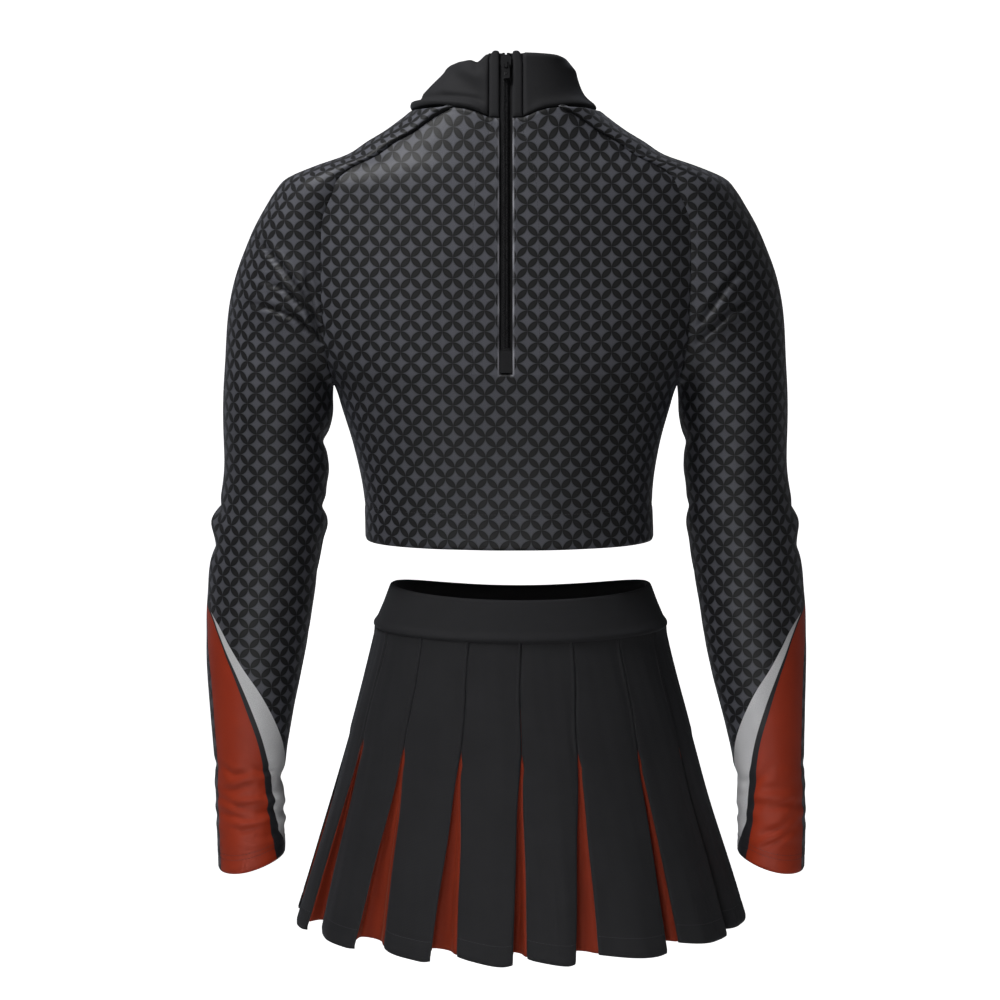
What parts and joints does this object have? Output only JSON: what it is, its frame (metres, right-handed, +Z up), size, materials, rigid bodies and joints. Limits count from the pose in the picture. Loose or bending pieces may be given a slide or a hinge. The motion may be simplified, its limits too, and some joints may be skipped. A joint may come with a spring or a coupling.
{
  "type": "cheer_uniform",
  "caption": "Two-piece cheer uniform: black printed long-sleeve crop top with orange sleeve flashes and a centre-back zip, and a black pleated skirt with orange inserts",
  "frame": {"origin": "middle of the collar seam, where the top sits on the wearer's neck", "axes": "X to the wearer's right, Y to the wearer's front, Z up"},
  "size_m": [0.5286, 0.3248, 0.7585],
  "materials": {
    "printed_knit": "soft sheen knit",
    "black_knit": "smooth matt knit",
    "orange_knit": "smooth matt knit",
    "zip_tape": "woven tape",
    "zip_coil": "satin nylon",
    "black_metal": "satin lacquer",
    "elastic": "knitted elastic"
  },
  "bodies": {
    "top": {"back_panel": "printed_knit", "front_panel": "printed_knit", "left_sleeve_head": "printed_knit", "right_sleeve_head": "printed_knit", "collar_outer": "black_knit", "collar_lining": "black_knit", "left_collar_facing": "black_knit", "right_collar_facing": "black_knit", "left_zip_tape": "zip_tape", "right_zip_tape": "zip_tape", "left_zip_coil": "zip_coil", "right_zip_coil": "zip_coil", "left_top_stop": "black_metal", "right_top_stop": "black_metal", "zip_bottom_stop": "black_metal", "zip_stay_patch": "black_knit"},
    "slider": {"zip_slider": "black_metal"},
    "pull_tab": {"zip_pull_tab": "black_metal"},
    "left_arm": {"left_sleeve": "printed_knit"},
    "right_arm": {"right_sleeve": "printed_knit"},
    "skirt": {"waistband_outer": "black_knit", "waistband_elastic": "elastic", "waistband_lining": "black_knit", "skirt_panel_01": "black_knit", "skirt_panel_02": "black_knit", "skirt_panel_03": "black_knit", "skirt_panel_04": "black_knit", "skirt_panel_05": "black_knit", "skirt_panel_06": "black_knit", "skirt_panel_07": "black_knit", "skirt_panel_08": "black_knit", "skirt_panel_09": "black_knit", "skirt_panel_10": "black_knit", "skirt_panel_11": "black_knit", "skirt_panel_12": "black_knit", "skirt_panel_13": "black_knit", "skirt_panel_14": "black_knit", "skirt_panel_15": "black_knit", "skirt_panel_16": "black_knit", "pleat_insert_01": "orange_knit", "pleat_insert_02": "orange_knit", "pleat_insert_03": "orange_knit", "pleat_insert_04": "orange_knit", "pleat_insert_05": "orange_knit", "pleat_insert_06": "orange_knit", "pleat_insert_07": "orange_knit", "pleat_insert_08": "orange_knit", "pleat_insert_09": "orange_knit", "pleat_insert_10": "orange_knit", "pleat_insert_11": "orange_knit", "pleat_insert_12": "orange_knit", "pleat_insert_13": "orange_knit", "pleat_insert_14": "orange_knit", "pleat_insert_15": "orange_knit", "pleat_insert_16": "orange_knit"}
  },
  "joints": [
    {"name": "zip_slide", "type": "slide", "parent": "top", "child": "slider", "axis": [0, -0.1582, -0.9874], "range_m": [0, 0.2344]},
    {"name": "pull_tab_hinge", "type": "hinge", "parent": "slider", "child": "pull_tab", "pos_m": [0, -0.06249, 0.03711], "axis": [-1, 0, 0], "range_deg": [0, 150]},
    {"name": "right_arm_lift", "type": "hinge", "parent": "top", "child": "right_arm", "pos_m": [0.185, 0, -0.17], "axis": [0, -1, 0], "range_deg": [0, 60]},
    {"name": "left_arm_lift", "type": "hinge", "parent": "top", "child": "left_arm", "pos_m": [-0.185, 0, -0.17], "axis": [0, 1, 0], "range_deg": [0, 60]},
    {"name": "skirt_off", "type": "slide", "parent": "top", "child": "skirt", "axis": [0, 0, -1], "range_m": [0, 0.3]}
  ]
}
